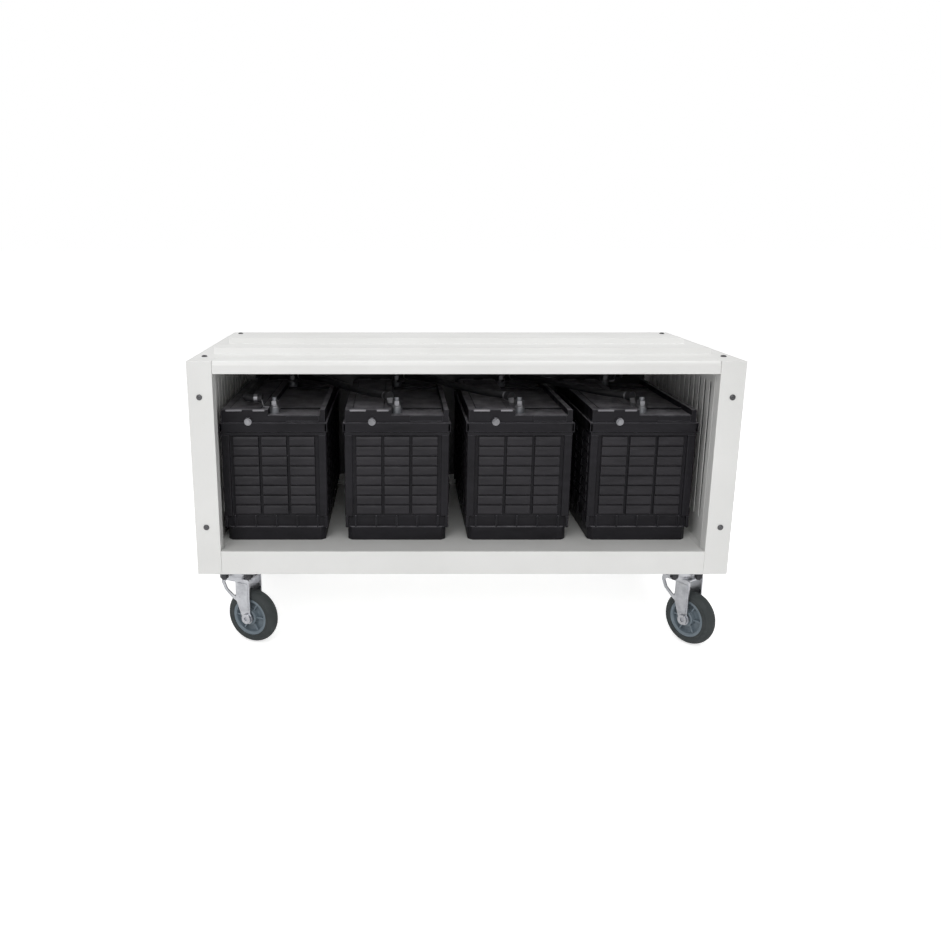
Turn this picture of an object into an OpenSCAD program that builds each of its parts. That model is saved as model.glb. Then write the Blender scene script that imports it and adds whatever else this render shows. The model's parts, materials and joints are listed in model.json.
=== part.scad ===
// Wheeled battery cabinet: a low open-fronted steel cabinet on four swivel casters, holding four
// 12 V lead-acid batteries end-on in one row, joined in series by cables over their lids.
// Millimetres, +Z up. Origin: on the floor, under the middle of the cabinet. The open front faces -Y.

/* [Cabinet] */
// Width over the side panels
cab_w = 860; // [840:5:960]
// Depth, front to back
cab_d = 430; // [424:2:470]
// Height from the underside to the top of the side panels
cab_h = 347; // [340:1:400]
// Thickness of the folded steel sheet
sheet_t = 1.5; // [1.2:0.1:2]
// Width of the front face of a side panel
flange_w = 39; // [34:1:42]
// Height of the bottom rail
rail_h = 38; // [32:1:42]
// Height of the header rail
header_h = 20; // [16:1:26]
// Height of the two raised ribs of the top
rib_h = 9; // [5:1:12]

/* [Batteries] */
// Distance between battery centres
bat_pitch = 201.5; // [195:0.5:203]
// Width of a battery case
bat_w = 172; // [168:1:176]
// Length of a battery case
bat_l = 326; // [300:1:330]
// Height of a battery to the top of its lid
bat_h = 222; // [210:1:228]
// Distance from the cabinet's front to the batteries
bat_setback = 63; // [50:1:66]
// Sideways shift of the whole row of batteries
bat_shift = -6; // [-8:1:8]

/* [Casters] */
// Height from the floor to the cabinet
caster_h = 132; // [129:1:139]
// Diameter of a wheel over its tyre
wheel_d = 92; // [86:1:96]
// Width of the tyre
tyre_w = 25; // [22:1:28]
// Distance from the swivel axis to the axle
trail = 25; // [22:1:30]
// Direction in which the front left wheel trails, from +X (the rear one mirrors it)
trail_left = -26; // [-80:1:80]
// Direction in which the front right wheel trails, from +X (the rear one mirrors it)
trail_right = -54; // [-80:1:80]
// Distance of a swivel axis from the middle, sideways
pivot_x = 371; // [350:1:378]
// Distance of a swivel axis from the middle, front to back
pivot_y = 168; // [160:1:168]

/* [Hidden] */
$fn = 48;
eps = 0.01;
gap = 0.3;

// cabinet levels and places
base_z = caster_h;
top_z = base_z + cab_h;
inner_x = cab_w / 2 - flange_w;
liner_set = 10;
liner_x = inner_x + liner_set;
foot_flange_w = 12;
front_y = -cab_d / 2;
back_y = cab_d / 2;
floor_z = base_z + rail_h - 1;
flange_lip = 22;
liner_y0 = front_y + flange_lip + 1;
liner_y1 = back_y - 6;
rib_w = 56;
rib_over = 14;
rib_y = [46, -98];
header_d = 42;
header_r = 8;
slot_pitch = 26;
slot_w = 8;
base_channel_w = 92;
base_channel_t = 3;
gland_r = 9;
panel_y1 = back_y - 4;
panel_y0 = panel_y1 - sheet_t;
upstand = 20;
skirt_y = panel_y0 - gap;
hem_d = 10;
hem_z = base_z + rail_h + 1;
back_screw_z = floor_z + 12;
louvres = 6;
louvre_l = 120;
louvre_h = 6;
louvre_pitch = 22;

// screws
screw_r = 2.5;
screw_head_r = 4.6;
screw_head_h = 2.4;
screw_len = 12;
side_screw_x = cab_w / 2 - flange_w * 0.46;
side_screw_z = [base_z + 80, base_z + 291];
top_screw_y = [-160, 186];
back_screw_x = [-300, -100, 100, 300];

// battery levels, from the underside of a battery
foot_h = 23;
pocket_h = 18;
body_top = bat_h - 37;
lid_flange_h = 15;
lid_w = bat_w + 4;
lid_l = bat_l + 4;
lid_top_w = bat_w - 3;
lid_top_l = bat_l - 3;
deck_drop = 9;
platform_w = 76;
cover_inset = 16;
cover_side = 12;
cover_seat = 2;
valve_r = 6;
wall = 3;
cells = 6;
inner_l = bat_l - 2 * wall - 4;
cell_l = (inner_l - (cells - 1) * wall) / cells;
cell_step = cell_l + wall;
pack_z = 7;
pack_h = body_top - 45;
plates = 8;
plate_gap = 2.6;
panel_rows = 8;
groove = 1.6;
groove_w = 4;
bat_y0 = front_y + bat_setback;
bat_y1 = bat_y0 + bat_l;
bat_y = (bat_y0 + bat_y1) / 2;
bat_z = floor_z;
lid_z = bat_z + body_top + 1;
deck_z = bat_z + bat_h - deck_drop;
post_y = bat_l / 2 - 26;
post_r = 9;
post_h = 9;
stud_r = 4;
front_bolt_x = -bat_w * 0.235;
front_bolt_up = lid_flange_h + 2;
front_bolt_r = 2.5;
front_bolt_l = 18;
front_bolt_boss = 7;

// cables
cable_r = 6;
lug_t = 3;
lug_z = deck_z + post_h + gap;
cable_z = lug_z + lug_t + cable_r + 6;
lug_len = 34;
lead_bend = 18;
lead_stub = 12;
gland_side = 48;
gland_z = cable_z;

// casters
plate_w = 64;
plate_d = 80;
plate_t = 3;
bolt_dx = 20;
bolt_dy = 28;
bolt_r = 4;
bolt_hole_r = 4.3;
bolt_tail = 13;
nut_h = 10;
race_r = 24;
race_h = 14;
race_gap = 0.5;
kingpin_r = 6;
kingpin_run = 0.05;
crown_z = caster_h - plate_t - race_h - race_gap;
fork_t = 2.5;
panel_t = 1.2;
fork_in = tyre_w / 2 + 3.5;
axle_z = wheel_d / 2;
axle_r = 5;
hub_r = wheel_d / 2 - 14;
hub_core_r = 13;
bearing_r = 9;
run_fit = 0.05;

function bat_x(i) = (i - 1.5) * bat_pitch + bat_shift;
function gland_x(s) = bat_shift + s * (1.5 * bat_pitch + gland_side);
function caster_x(i) = (i % 2 == 0 ? -1 : 1) * pivot_x;
function caster_y(i) = (i < 2 ? -1 : 1) * pivot_y;

white = "#dfe0dc";
charcoal = "#2b2a2f";
zinc = "#b9bcc1";
dark = "#2a2b2c";
lead = "#8d9094";
rubber = "#3a4044";
hub_grey = "#6d7c86";

// a box given by its low and high corners
module span(a, b) {
  translate(a) cube(b - a);
}

// a cylinder that runs along +Y from a point
module rod_y(p, h, r) {
  translate(p) rotate([-90, 0, 0]) cylinder(h = h, r = r);
}

// ---- cabinet ----

// left side panel: outer skin with folded flanges all round and holes for its screws
module side_panel() {
  xo = -cab_w / 2;
  xi = -inner_x;
  color(white) difference() {
    union() {
      span([xo, front_y, base_z], [xo + sheet_t, back_y, top_z]);
      span([xo, front_y, base_z], [xi, front_y + sheet_t, top_z]);
      span([xo, back_y - sheet_t, base_z], [xi, back_y, top_z]);
      span([xo, front_y, top_z - sheet_t], [xi, back_y, top_z]);
      span([xo, front_y, base_z], [xo + foot_flange_w, back_y, base_z + sheet_t]);
      span([xi - sheet_t, front_y, floor_z], [xi, front_y + flange_lip, top_z]);
    }
    for (z = side_screw_z, y = [front_y, back_y]) rod_y([-side_screw_x, y - 4, z], 8, screw_r);
    for (y = top_screw_y) translate([-side_screw_x, y, top_z - 4]) cylinder(h = 8, r = screw_r);
  }
}

// left inner wall: a shallow pan, open towards the batteries, with upright ventilation slots
module side_liner() {
  slots = floor((liner_y1 - liner_y0 - 30) / slot_pitch);
  slot_l = cab_h - 120;
  x = -liner_x;
  z0 = floor_z - sheet_t;
  z1 = top_z - header_h - 4;
  color(white) difference() {
    span([x - sheet_t, liner_y0, z0], [x + liner_set, liner_y1, z1]);
    span([x, liner_y0 + sheet_t, floor_z], [x + liner_set + 1, liner_y1 - sheet_t, z1 - sheet_t]);
    for (i = [0 : slots])
      translate([x - 5, liner_y0 + 18 + i * slot_pitch, floor_z + 40]) cube([10, slot_w, slot_l]);
  }
}

// floor of the bay, folded down at the front into the bottom rail and at the back into a skirt,
// each with a return along the underside that the casters bolt through
module bottom_tray() {
  x = inner_x - gap;
  x_out = cab_w / 2 - foot_flange_w - gap;
  return_y = pivot_y - base_channel_w / 2;
  color(white) difference() {
    union() {
      span([-x, front_y + hem_d, floor_z - sheet_t], [x, skirt_y, floor_z]);
      span([-x, front_y, base_z], [x, front_y + sheet_t, hem_z]);
      span([-x, front_y, hem_z - sheet_t], [x, front_y + hem_d + sheet_t, hem_z]);
      span([-x, front_y + hem_d, floor_z - sheet_t], [x, front_y + hem_d + sheet_t, hem_z]);
      span([-x, skirt_y - sheet_t, base_z], [x, skirt_y, floor_z + upstand]);
      span([-x, front_y, base_z], [x, front_y + 3, base_z + sheet_t]);
      span([-x_out, front_y + sheet_t + gap, base_z], [x_out, -return_y, base_z + sheet_t]);
      span([-x_out, return_y, base_z], [x_out, skirt_y, base_z + sheet_t]);
    }
    for (i = [0 : 3]) at_plate_bolts(i) cylinder(h = 3 * sheet_t, r = bolt_hole_r, center = true);
    for (sx = back_screw_x) rod_y([sx, skirt_y - 4, back_screw_z], 8, screw_r);
  }
}

// hollow front rail under the top, with its upper front edge rounded
module header_rail() {
  x = inner_x - gap;
  r = header_r;
  color(white) translate([-x, front_y, top_z - header_h]) rotate([90, 0, 90]) linear_extrude(2 * x)
    difference() {
      header_outline(header_d, header_h, r);
      translate([sheet_t, sheet_t])
        header_outline(header_d - 2 * sheet_t, header_h - 2 * sheet_t, r - sheet_t);
    }
}

// section of the header: a rectangle with its upper front corner rounded
module header_outline(d, h, r) {
  square([d, h - r]);
  translate([r, 0]) square([d - r, h]);
  translate([r, h - r]) circle(r);
}

// top sheet with two raised ribs, closed at their ends, that run out over the side panels
module top_panel() {
  x = inner_x - gap;
  y0 = front_y + header_d + gap;
  y1 = back_y - 2;
  color(white) translate([-x, 0, top_z - sheet_t]) rotate([90, 0, 90]) linear_extrude(2 * x) {
    difference() {
      translate([y0, 0]) square([y1 - y0, sheet_t]);
      for (y = rib_y) translate([y - rib_w / 2 + sheet_t, -1]) square([rib_w - 2 * sheet_t, sheet_t + 2]);
    }
    translate([y1 - sheet_t, -12]) square([sheet_t, 12 + sheet_t / 2]);
  }
  color(white) for (y = rib_y) difference() {
    rib_body(y, x + rib_over, rib_w, 0);
    rib_body(y, x + rib_over - sheet_t, rib_w - 2 * sheet_t, sheet_t);
    for (s = [-1, 1]) translate([s * (x + rib_over) - rib_over, y - rib_w, top_z - 5])
      cube([2 * rib_over, 2 * rib_w, 5 + eps]);
  }
}

// solid rib reaching half_l to both sides, its top lowered by drop
module rib_body(y, half_l, w, drop) {
  translate([-half_l, y, top_z - sheet_t - drop]) rotate([90, 0, 90])
    linear_extrude(2 * half_l) rib_outline(w, rib_h + sheet_t);
}

// section of a rib, with sloped sides
module rib_outline(w, h) {
  slope = 7;
  polygon([[-w / 2, 0], [-w / 2 + slope, h], [w / 2 - slope, h], [w / 2, 0]]);
}

// flat rear closing sheet with louvre slots and two cable holes
module back_panel() {
  x = inner_x - gap;
  color(dark) difference() {
    span([-x, panel_y0, base_z + 1], [x, panel_y1, top_z - sheet_t - gap]);
    for (s = [-1, 1]) rod_y([gland_x(s), panel_y0 - 4, gland_z], 10, gland_r);
    for (b = [0 : 3], k = [0 : louvres - 1])
      translate([bat_x(b) - louvre_l / 2, panel_y0 - 4, base_z + 90 + k * louvre_pitch])
        cube([louvre_l, 10, louvre_h]);
    for (sx = back_screw_x) rod_y([sx, panel_y0 - 4, back_screw_z], 10, screw_r);
  }
}

// channel under the bay floor that the caster plates bolt to
module base_channel(s) {
  x = cab_w / 2 - sheet_t - 1;
  y = s * pivot_y;
  w = base_channel_w;
  y0 = max(y - w / 2, front_y + 2);
  y1 = min(y + w / 2, skirt_y - sheet_t - gap);
  z0 = base_z + sheet_t;
  z1 = floor_z - sheet_t - gap;
  color(white) difference() {
    span([-x, y0, z0], [x, y1, z1]);
    span([-x - 1, y0 + base_channel_t, z0 + base_channel_t], [x + 1, y1 - base_channel_t, z1 + 1]);
    for (i = [0 : 3]) if (sign(caster_y(i)) == s)
      at_plate_bolts(i) cylinder(h = 4 * base_channel_t, r = bolt_hole_r, center = true);
  }
}

// a pan-head screw, head up, with its seat at the origin
module screw() {
  rotate_extrude() polygon(concat(
    [[0, -screw_len], [screw_r - 0.1, -screw_len], [screw_r - 0.1, 0], [screw_head_r, 0]],
    [for (a = [0 : 15 : 75]) [screw_head_r * cos(a), 0.6 + (screw_head_h - 0.6) * sin(a)]],
    [[0, screw_head_h]]));
}

// the screw with a hexagon socket in its head
module drive_screw() {
  difference() {
    screw();
    translate([0, 0, screw_head_h - 1.2]) cylinder(h = 4, r = 1.7, $fn = 6);
  }
}

module side_screws() {
  color(dark) for (s = [-1, 1], z = side_screw_z) {
    translate([s * side_screw_x, front_y, z]) rotate([90, 0, 0]) drive_screw();
    translate([s * side_screw_x, back_y, z]) rotate([-90, 0, 0]) drive_screw();
  }
}

module top_screws() {
  color(dark) for (s = [-1, 1], y = top_screw_y) translate([s * side_screw_x, y, top_z]) drive_screw();
}

module back_screws() {
  color(dark) for (sx = back_screw_x)
    translate([sx, panel_y1, back_screw_z]) rotate([-90, 0, 0]) drive_screw();
}

// ---- batteries ----

module at_battery(i) {
  translate([bat_x(i), bat_y, bat_z]) children();
}

// plan of the case with upright grooves: three panels on the ends, six on the sides
module case_plan(w, l) {
  difference() {
    square([w, l], center = true);
    for (s = [-1, 1]) {
      for (k = [-1.5 : 1 : 1.5])
        translate([k * w * 0.27, s * l / 2]) square([groove_w, 2 * groove], center = true);
      for (k = [-3 : 3])
        translate([s * w / 2, k * l * 0.145]) square([2 * groove, groove_w], center = true);
    }
  }
}

// case: six open-topped cells, ribbed outside, with hold-down pockets and a tapered foot
module battery_case(i) {
  band = (body_top - foot_h - pocket_h - 4) / panel_rows;
  color(charcoal) at_battery(i) difference() {
    union() {
      linear_extrude(foot_h) polygon(foot_plan());
      translate([0, 0, foot_h - eps]) linear_extrude(pocket_h + 2 * eps)
        square([bat_w - 6, bat_l - 6], center = true);
      for (s = [-1, 1], k = [-1.5 : 1 : 1.5])
        translate([k * bat_w * 0.3 - 1.5, s * (bat_l / 2 - 2) - 2, foot_h - eps])
          cube([3, 4, pocket_h + 2 * eps]);
      translate([0, 0, foot_h + pocket_h]) linear_extrude(body_top - foot_h - pocket_h)
        case_plan(bat_w, bat_l);
    }
    for (k = [1 : panel_rows - 1])
      translate([0, 0, foot_h + pocket_h + 4 + k * band]) linear_extrude(groove_w - 2) difference() {
        square([bat_w + 2, bat_l + 2], center = true);
        square([bat_w - 2 * groove, bat_l - 2 * groove], center = true);
      }
    for (c = [0 : cells - 1]) translate([-bat_w / 2 + wall + 2, -inner_l / 2 + c * cell_step, 6])
      cube([bat_w - 2 * wall - 4, cell_l, body_top]);
  }
}

// foot outline with chamfered corners
function foot_plan(w = bat_w / 2 - 4, l = bat_l / 2 - 1, c = 7) =
  [[-w + c, -l], [w - c, -l], [w, -l + c], [w, l - c], [w - c, l], [-w + c, l], [-w, l - c], [-w, -l + c]];

// lid: wide lower flange, raised platform on the left and a lower terminal deck on the right
module battery_lid(i) {
  z0 = body_top + 1;
  top = bat_h - z0;
  color(charcoal) at_battery(i) translate([0, 0, z0]) difference() {
    union() {
      translate([-lid_w / 2, -lid_l / 2, 0]) cube([lid_w, lid_l, lid_flange_h]);
      translate([-lid_top_w / 2, -lid_top_l / 2, 0]) cube([lid_top_w, lid_top_l, top - deck_drop]);
      translate([-lid_top_w / 2, -lid_top_l / 2, 0]) cube([platform_w, lid_top_l, top]);
      translate([lid_top_w / 2 - 8, -lid_top_l / 2, 0]) cube([8, lid_top_l, top]);
      rod_y([front_bolt_x, -lid_l / 2, front_bolt_up], 6, front_bolt_boss);
    }
    translate([-bat_w / 2 + wall + 1, -bat_l / 2 + wall + 1, -1])
      cube([bat_w - 2 * wall - 2, bat_l - 2 * wall - 2, lid_flange_h - 6]);
    for (s = [-1, 1]) translate([0, s * post_y, -1]) cylinder(h = top + 2, r = post_r + gap);
    rod_y([front_bolt_x, -lid_top_l / 2 - 4, front_bolt_up], 4 + front_bolt_l, front_bolt_r + 0.1);
    for (c = [0 : cells - 1]) translate([valve_x(), valve_y(c), -1]) cylinder(h = top + 2, r = valve_r);
    translate([lid_top_w / 2 - 62, -lid_l / 2 - 1, lid_flange_h + 3]) cube([50, 4, 7]);
    translate([-lid_top_w / 2 + cover_side, -lid_top_l / 2 + cover_inset, top - cover_seat])
      cube([platform_w - 2 * cover_side, lid_top_l - 2 * cover_inset, cover_seat + 1]);
  }
}

function valve_x() = -lid_top_w / 2 + platform_w / 2;
function valve_y(c) = (c - (cells - 1) / 2) * cell_step;

// lead plate packs, one in each cell, cut by slots into a row of plates
module plate_groups() {
  color(lead) for (i = [0 : 3]) at_battery(i) for (c = [0 : cells - 1])
    translate([-bat_w / 2 + wall + 6, -inner_l / 2 + c * cell_step + 1.5, pack_z]) difference() {
      cube([bat_w - 2 * wall - 12, cell_l - 3, pack_h]);
      for (k = [1 : plates - 1])
        translate([-1, k * (cell_l - 3) / plates - plate_gap / 2, 12]) cube([bat_w, plate_gap, body_top]);
    }
}

// lead straps that join neighbouring cells over the partitions, each on two pillars
module cell_straps() {
  color(lead) for (i = [0 : 3]) at_battery(i) for (c = [0 : cells - 2])
    translate([(c % 2 == 0 ? -1 : 1) * 46, -inner_l / 2 + (c + 1) * cell_step - wall / 2, 0]) {
      translate([-10, -16, body_top]) cube([20, 32, 4]);
      for (s = [-1, 1]) translate([0, s * 9, pack_z + pack_h])
        cylinder(h = body_top - pack_z - pack_h + 2, r = 5);
    }
}

// rubber one-way valves, one a cell, under the vent covers
module pressure_valves() {
  color(dark) for (i = [0 : 3]) at_battery(i) for (c = [0 : cells - 1])
    translate([valve_x(), valve_y(c), body_top + 6]) difference() {
      cylinder(h = bat_h - body_top - 9, r = valve_r - 0.1);
      translate([0, 0, -1]) cylinder(h = bat_h - body_top - 11, r = valve_r - 1.8);
    }
}

// push-in covers over the valves
module vent_covers() {
  y = -lid_top_l / 2 + cover_inset + gap;
  x = -lid_top_w / 2 + cover_side + gap;
  color(charcoal) for (i = [0 : 3]) at_battery(i) translate([x, y, bat_h - cover_seat])
    cube([platform_w - 2 * cover_side - 2 * gap, -2 * y, cover_seat + 0.4]);
}

// lead posts with a brass stud, through the lid
module terminal_posts() {
  color(lead) for (i = [0 : 3], s = [-1, 1]) at_battery(i) translate([0, s * post_y, 0]) {
    translate([0, 0, pack_z + pack_h]) cylinder(h = deck_z - bat_z - pack_z - pack_h + post_h, r = post_r);
    translate([0, 0, deck_z - bat_z + post_h - eps]) cylinder(h = 17, r = stud_r);
  }
}

// flanged hexagon nuts that hold the cable lugs on the studs
module terminal_nuts() {
  color(zinc) for (i = [0 : 3], s = [-1, 1])
    translate([bat_x(i), bat_y + s * post_y, lug_z + lug_t + gap]) difference() {
      union() {
        cylinder(h = 1.6, r = 8.5);
        cylinder(h = 8, r = 7.4, $fn = 6);
      }
      translate([0, 0, -1]) cylinder(h = 12, r = stud_r + 0.1);
    }
}

// silver hexagon bolts in the front of each lid
module front_terminal_bolts() {
  color(zinc) for (i = [0 : 3])
    translate([bat_x(i) + front_bolt_x, bat_y - lid_l / 2, lid_z + front_bolt_up]) rotate([90, 0, 0]) {
      cylinder(h = 1.2, r = front_bolt_boss - 1);
      translate([0, 0, 1.2 - eps]) cylinder(h = 3.6, r = 4.6, $fn = 6);
      translate([0, 0, -front_bolt_l]) cylinder(h = front_bolt_l, r = front_bolt_r);
    }
}

// ---- cables ----

// flat eye on a post, its barrel pointing along +X at the cable's height
module lug(a) {
  rotate([0, 0, a]) difference() {
    union() {
      cylinder(h = lug_t, r = 9);
      translate([0, -6, 0]) cube([lug_len - 14, 12, lug_t]);
      translate([lug_len - 17, -6, 0]) cube([lug_t, 12, cable_z - lug_z]);
      translate([lug_len - 17, 0, cable_z - lug_z]) rotate([0, 90, 0]) cylinder(h = 16, r = cable_r + 1.5);
    }
    translate([0, 0, -1]) cylinder(h = lug_t + 2, r = stud_r + 0.15);
  }
}

// straight cable between two posts, with a lug at each end
module jumper_cable(i) {
  p = [bat_x(i), bat_y + post_y];
  q = [bat_x(i + 1), bat_y - post_y];
  len = norm(q - p);
  a = atan2(q[1] - p[1], q[0] - p[0]);
  color(dark) {
    translate([p[0], p[1], lug_z]) lug(a);
    translate([q[0], q[1], lug_z]) lug(a + 180);
    translate([p[0], p[1], cable_z]) rotate([0, 0, a]) translate([lug_len - 10, 0, 0]) rotate([0, 90, 0])
      cylinder(h = len - 2 * lug_len + 20, r = cable_r);
  }
}

// lead from a post to a cable hole in the back panel: sideways out of the lug, round one bend and back
module output_lead(i, end, side) {
  x = bat_x(i);
  y = bat_y + end * post_y;
  gx = gland_x(side);
  run = abs(gx - x) - lead_bend - lug_len + 10;
  color(dark) {
    translate([x, y, lug_z]) lug(side > 0 ? 0 : 180);
    translate([x + side * (lug_len - 10), y, cable_z]) rotate([0, side * 90, 0])
      cylinder(h = run, r = cable_r);
    translate([gx - side * lead_bend, y + lead_bend, cable_z]) rotate([0, 0, side > 0 ? -90 : 180])
      rotate_extrude(angle = 90) translate([lead_bend, 0]) circle(cable_r);
    translate([gx, y + lead_bend, cable_z]) rotate([-90, 0, 0])
      cylinder(h = back_y + lead_stub - y - lead_bend, r = cable_r);
  }
}

// rubber bushes round the leads, with a flange on each side of the back panel
module cable_glands() {
  color(dark) for (s = [-1, 1])
    translate([gland_x(s), panel_y1, gland_z]) rotate([-90, 0, 0]) difference() {
      union() {
        translate([0, 0, gap]) cylinder(h = 3, r = gland_r + 5);
        translate([0, 0, -sheet_t - 3.5]) cylinder(h = 3.2, r = gland_r + 4);
        translate([0, 0, -sheet_t - 1]) cylinder(h = sheet_t + 2, r = gland_r - 0.1);
      }
      translate([0, 0, -12]) cylinder(h = 24, r = cable_r + 0.2);
    }
}

// ---- casters ----

module at_caster(i) {
  translate([caster_x(i), caster_y(i), 0]) children();
}

module at_plate_bolts(i) {
  at_caster(i) for (sx = [-1, 1], sy = [-1, 1]) translate([sx * bolt_dx, sy * bolt_dy, base_z]) children();
}

// stamped top plates, each with four bolt holes and the fixed part of its ball race
module caster_plates() {
  color(zinc) for (i = [0 : 3]) difference() {
    at_caster(i) union() {
      translate([-plate_w / 2, -plate_d / 2, base_z - plate_t]) cube([plate_w, plate_d, plate_t]);
      translate([0, 0, base_z - plate_t - race_h]) cylinder(h = race_h + eps, r = race_r - 8);
    }
    at_plate_bolts(i) translate([0, 0, -plate_t - 1]) cylinder(h = plate_t + 2, r = bolt_hole_r);
    at_caster(i) translate([0, 0, base_z - 20]) cylinder(h = 21, r = kingpin_r);
  }
}

// hexagon bolts down through the channels and the tray's returns
module caster_bolts() {
  color(dark) for (i = [0 : 3]) at_plate_bolts(i) {
    translate([0, 0, sheet_t + base_channel_t]) cylinder(h = 5, r = 7.5, $fn = 6);
    translate([0, 0, -plate_t - bolt_tail])
      cylinder(h = plate_t + bolt_tail + sheet_t + base_channel_t + eps, r = bolt_r);
  }
}

// flanged nuts under the caster plates
module caster_nuts() {
  color(dark) for (i = [0 : 3]) at_plate_bolts(i) translate([0, 0, -plate_t - nut_h]) difference() {
    union() {
      cylinder(h = nut_h, r = 7.2, $fn = 6);
      translate([0, 0, nut_h - 1.5]) cylinder(h = 1.5, r = 8.4);
    }
    translate([0, 0, -1]) cylinder(h = 12, r = bolt_r + 0.1);
  }
}

// pin that hangs the fork from the plate, with a flared lower head
module kingpins() {
  color(zinc) for (i = [0 : 3]) at_caster(i) {
    translate([0, 0, crown_z - 4]) cylinder(h = base_z - 0.5 - crown_z + 4, r = kingpin_r);
    translate([0, 0, crown_z - 8]) cylinder(h = 4 + eps, r = kingpin_r + 5);
  }
}

// frame of a caster at rest: +X along the trail
module at_trail(i) {
  toward_front = i < 2 ? 1 : -1;
  at_caster(i) rotate([0, 0, toward_front * (i % 2 == 0 ? trail_left : trail_right)]) children();
}

// outline of a fork leg: an upright strip down to the axle, and a curved brace with an opening
// behind it that carries the strip forward to the crown
module leg_plan() {
  boss = 10;
  x_front = trail - 20;
  x_back = trail + 6;
  difference() {
    union() {
      translate([trail, axle_z]) circle(boss);
      polygon([
        [2 - race_r, crown_z], [x_back - 2, crown_z], [x_back, crown_z - 2], [x_back, axle_z],
        [trail - boss, axle_z], [x_front + 4, axle_z + 16], [x_front, crown_z - 41],
        [x_front - 9, crown_z - 36], [6 - race_r, crown_z - 24], [-race_r, crown_z - 11]
      ]);
    }
    polygon([
      [10 - race_r, crown_z - 7], [x_front - 1, crown_z - 7], [x_front - 1, crown_z - 33],
      [x_front - 6, crown_z - 31], [11 - race_r, crown_z - 22], [6 - race_r, crown_z - 11]
    ]);
    translate([trail, axle_z]) circle(axle_r);
  }
}

// raised panel pressed into the strip of a leg
module leg_panel() {
  polygon([
    [trail - 17, crown_z - 7], [trail + 3, crown_z - 7], [trail + 3, axle_z + 13], [trail - 12, axle_z + 13],
    [trail - 17, axle_z + 26]
  ]);
}

// swivel fork: two legs on a crown, with the turning ring of the ball race round the fixed part
module fork(i) {
  crown_w = 2 * (fork_in + fork_t);
  color(zinc) at_trail(i) difference() {
    union() {
      for (s = [0, 1]) mirror([0, s, 0]) translate([0, fork_in + fork_t, 0]) rotate([90, 0, 0]) {
        linear_extrude(fork_t) leg_plan();
        translate([0, 0, -panel_t]) linear_extrude(panel_t + eps) leg_panel();
      }
      translate([2 - race_r, -crown_w / 2, crown_z - fork_t]) cube([trail + 4 + race_r - 2, crown_w, fork_t]);
      translate([0, 0, crown_z - fork_t]) cylinder(h = fork_t, r = race_r);
      translate([0, 0, crown_z - eps]) difference() {
        cylinder(h = race_h - 1, r = race_r);
        translate([0, 0, -eps]) cylinder(h = race_h + 1, r = race_r - 7);
      }
    }
    translate([0, 0, crown_z - 10]) cylinder(h = 30, r = kingpin_r + kingpin_run);
  }
}

// axle bolt with a round socket head on the left leg and a nut on the right one
module axle(i) {
  leg = fork_in + fork_t;
  color(zinc) at_trail(i) translate([trail, 0, axle_z]) rotate([90, 0, 0]) difference() {
    union() {
      translate([0, 0, -leg - 9]) cylinder(h = 2 * leg + 10, r = axle_r - 0.02);
      translate([0, 0, leg]) cylinder(h = 4.5, r = 8.5);
      translate([0, 0, -leg - 7.5]) cylinder(h = 7.5, r = 8.5, $fn = 6);
    }
    translate([0, 0, leg + 1]) cylinder(h = 6, r = 3.6, $fn = 6);
  }
}

// frame of a wheel: +Z along its axle
module at_wheel(i) {
  at_trail(i) translate([trail, 0, axle_z]) rotate([90, 0, 0]) children();
}

// hub: bearing boss, recessed web and rim
module hub(i) {
  w = tyre_w - 1;
  web_in = hub_core_r + 2;
  web_out = hub_r - 7;
  color(hub_grey) at_wheel(i) rotate_extrude($fn = 96) polygon([
    [bearing_r, -w / 2 - 1.5], [hub_core_r, -w / 2 - 1.5], [hub_core_r, -w / 2 + 4], [web_in, -w / 2 + 5],
    [web_out, -w / 2 + 5], [hub_r - 4, -w / 2 + 1], [hub_r, -w / 2 + 1],
    [hub_r, w / 2 - 1], [hub_r - 4, w / 2 - 1], [web_out, w / 2 - 5],
    [web_in, w / 2 - 5], [hub_core_r, w / 2 - 4], [hub_core_r, w / 2 + 1.5], [bearing_r, w / 2 + 1.5]]);
}

// rubber tyre bonded round the hub, with a crowned tread
module tyre(i) {
  r = wheel_d / 2;
  w = tyre_w / 2;
  arc = [for (a = [-60 : 15 : 60]) [r - 7 + 7 * cos(a), (w - 6) * sin(a) / sin(60) * 0.98]];
  color(rubber) at_wheel(i) rotate_extrude($fn = 96) polygon(concat(
    [[hub_r, -w], [r - 6, -w], [r - 4.5, -w + 1.5]],
    arc,
    [[r - 4.5, w - 1.5], [r - 6, w], [hub_r, w]]));
}

// two bearing rings in the hub, running on the axle
module bearings(i) {
  color(zinc) at_wheel(i) for (s = [-1, 1]) translate([0, 0, s * (tyre_w / 2 - 3.5)]) difference() {
    cylinder(h = 8, r = bearing_r, center = true);
    cylinder(h = 10, r = axle_r + run_fit, center = true);
  }
}

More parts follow.
